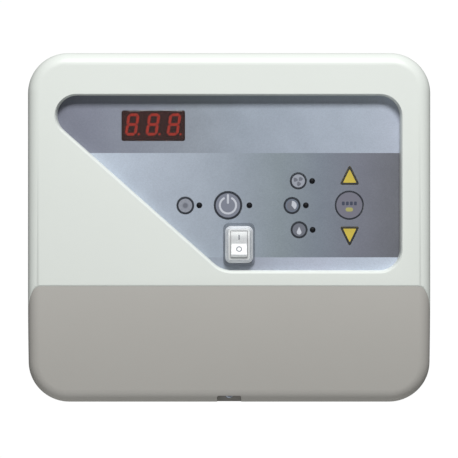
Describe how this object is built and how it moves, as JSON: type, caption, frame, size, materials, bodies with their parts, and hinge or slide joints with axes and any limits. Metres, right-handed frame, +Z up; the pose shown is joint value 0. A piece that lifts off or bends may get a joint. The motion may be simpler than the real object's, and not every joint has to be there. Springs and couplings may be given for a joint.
{
  "type": "wall-mounted heater control unit",
  "caption": "Wall-mounted electronic heater controller: off-white case, slanted silver key panel, red digit display, booted rocker switch, grey wiring cover.",
  "frame": {"origin": "centre of the back face, on the wall", "axes": "+Y points into the wall, so the front faces -Y; +X to the right seen from the front; +Z up"},
  "size_m": [0.25, 0.07, 0.2176],
  "materials": {
    "casing_cream": "fine moulded satin ABS, off-white",
    "casing_grey": "fine moulded satin ABS, warm grey",
    "carrier": "moulded ABS carrier",
    "silver_film": "polyester film printed with fine silver metallic ink, in soft light and dark bands",
    "foam": "closed-cell black foam seal",
    "smoked_lens": "smoked red acrylic window",
    "key_print": "silver film key area with dark printed ring",
    "key_yellow": "yellow printed film key area",
    "lamp": "dark unlit indicator",
    "black_plastic": "black moulded plastic",
    "switch_white": "white glossy nylon",
    "clear_boot": "clear flexible silicone, slightly cloudy",
    "tinned_brass": "tinned brass blade",
    "laminate": "green solder-masked glass laminate",
    "relay_case": "blue moulded relay case",
    "transformer_steel": "varnished steel laminations",
    "terminal_plastic": "grey-green terminal nylon",
    "fuse_glass": "clear glass tube",
    "capacitor_sleeve": "dark blue shrink sleeve",
    "ribbon_pvc": "grey PVC ribbon",
    "grommet_rubber": "soft dark grey rubber",
    "zinc_screw": "blue zinc-plated steel"
  },
  "bodies": {
    "casing": {"back_box": "casing_grey", "front_cover": "casing_cream", "panel_plate": "carrier", "panel_overlay": "silver_film", "panel_gasket": "foam", "display_lens": "smoked_lens", "tact_switch_light": "black_plastic", "tact_switch_power": "black_plastic", "tact_switch_fan": "black_plastic", "tact_switch_timer": "black_plastic", "tact_switch_humidity": "black_plastic", "tact_switch_program": "black_plastic", "tact_switch_up": "black_plastic", "tact_switch_down": "black_plastic", "indicator_light": "lamp", "indicator_power": "lamp", "indicator_fan": "lamp", "indicator_timer": "lamp", "indicator_humidity": "lamp", "switch_body": "switch_white", "switch_boot": "clear_boot", "switch_blade_1": "tinned_brass", "switch_blade_2": "tinned_brass", "display_module": "black_plastic", "control_board": "laminate", "power_board": "laminate", "relay_1": "relay_case", "relay_2": "relay_case", "relay_3": "relay_case", "transformer": "transformer_steel", "mains_terminal_block": "terminal_plastic", "sensor_terminal_block": "terminal_plastic", "fuse_holder": "black_plastic", "fuse": "fuse_glass", "capacitor": "capacitor_sleeve", "buzzer": "black_plastic", "ribbon_cable": "ribbon_pvc", "control_connector": "black_plastic", "power_connector": "black_plastic", "cable_grommet_1": "grommet_rubber", "power_board_screw_1": "zinc_screw", "cable_grommet_2": "grommet_rubber", "power_board_screw_2": "zinc_screw", "cable_grommet_3": "grommet_rubber", "power_board_screw_3": "zinc_screw", "cable_grommet_4": "grommet_rubber", "power_board_screw_4": "zinc_screw", "front_cover_screw_1": "zinc_screw", "front_cover_screw_2": "zinc_screw"},
    "light_key": {"key_light": "key_print"},
    "power_key": {"key_power": "key_print"},
    "fan_key": {"key_fan": "key_print"},
    "timer_key": {"key_timer": "key_print"},
    "humidity_key": {"key_humidity": "key_print"},
    "program_key": {"key_program": "key_print"},
    "up_key": {"key_up": "key_yellow"},
    "down_key": {"key_down": "key_yellow"},
    "rocker": {"switch_rocker": "switch_white"},
    "wiring_cover": {"lower_cover": "casing_grey", "lower_cover_screw": "zinc_screw"}
  },
  "joints": [
    {"name": "light_key_press", "type": "slide", "parent": "casing", "child": "light_key", "axis": [0, 1, 0], "range_m": [0, 0.0005], "stiffness_N_per_m": 900, "springref_m": -0.0006},
    {"name": "power_key_press", "type": "slide", "parent": "casing", "child": "power_key", "axis": [0, 1, 0], "range_m": [0, 0.0005], "stiffness_N_per_m": 900, "springref_m": -0.0006},
    {"name": "fan_key_press", "type": "slide", "parent": "casing", "child": "fan_key", "axis": [0, 1, 0], "range_m": [0, 0.0005], "stiffness_N_per_m": 900, "springref_m": -0.0006},
    {"name": "timer_key_press", "type": "slide", "parent": "casing", "child": "timer_key", "axis": [0, 1, 0], "range_m": [0, 0.0005], "stiffness_N_per_m": 900, "springref_m": -0.0006},
    {"name": "humidity_key_press", "type": "slide", "parent": "casing", "child": "humidity_key", "axis": [0, 1, 0], "range_m": [0, 0.0005], "stiffness_N_per_m": 900, "springref_m": -0.0006},
    {"name": "program_key_press", "type": "slide", "parent": "casing", "child": "program_key", "axis": [0, 1, 0], "range_m": [0, 0.0005], "stiffness_N_per_m": 900, "springref_m": -0.0006},
    {"name": "up_key_press", "type": "slide", "parent": "casing", "child": "up_key", "axis": [0, 1, 0], "range_m": [0, 0.0005], "stiffness_N_per_m": 900, "springref_m": -0.0006},
    {"name": "down_key_press", "type": "slide", "parent": "casing", "child": "down_key", "axis": [0, 1, 0], "range_m": [0, 0.0005], "stiffness_N_per_m": 900, "springref_m": -0.0006},
    {"name": "rocker_tilt", "type": "hinge", "parent": "casing", "child": "rocker", "pos_m": [0.0062, -0.06304, -0.0102], "axis": [1, 0, 0], "range_deg": [0, 24]},
    {"name": "lower_cover_tilt", "type": "hinge", "parent": "casing", "child": "wiring_cover", "pos_m": [0, -0.07, -0.0355], "axis": [-1, 0, 0], "range_deg": [0, 35]}
  ]
}
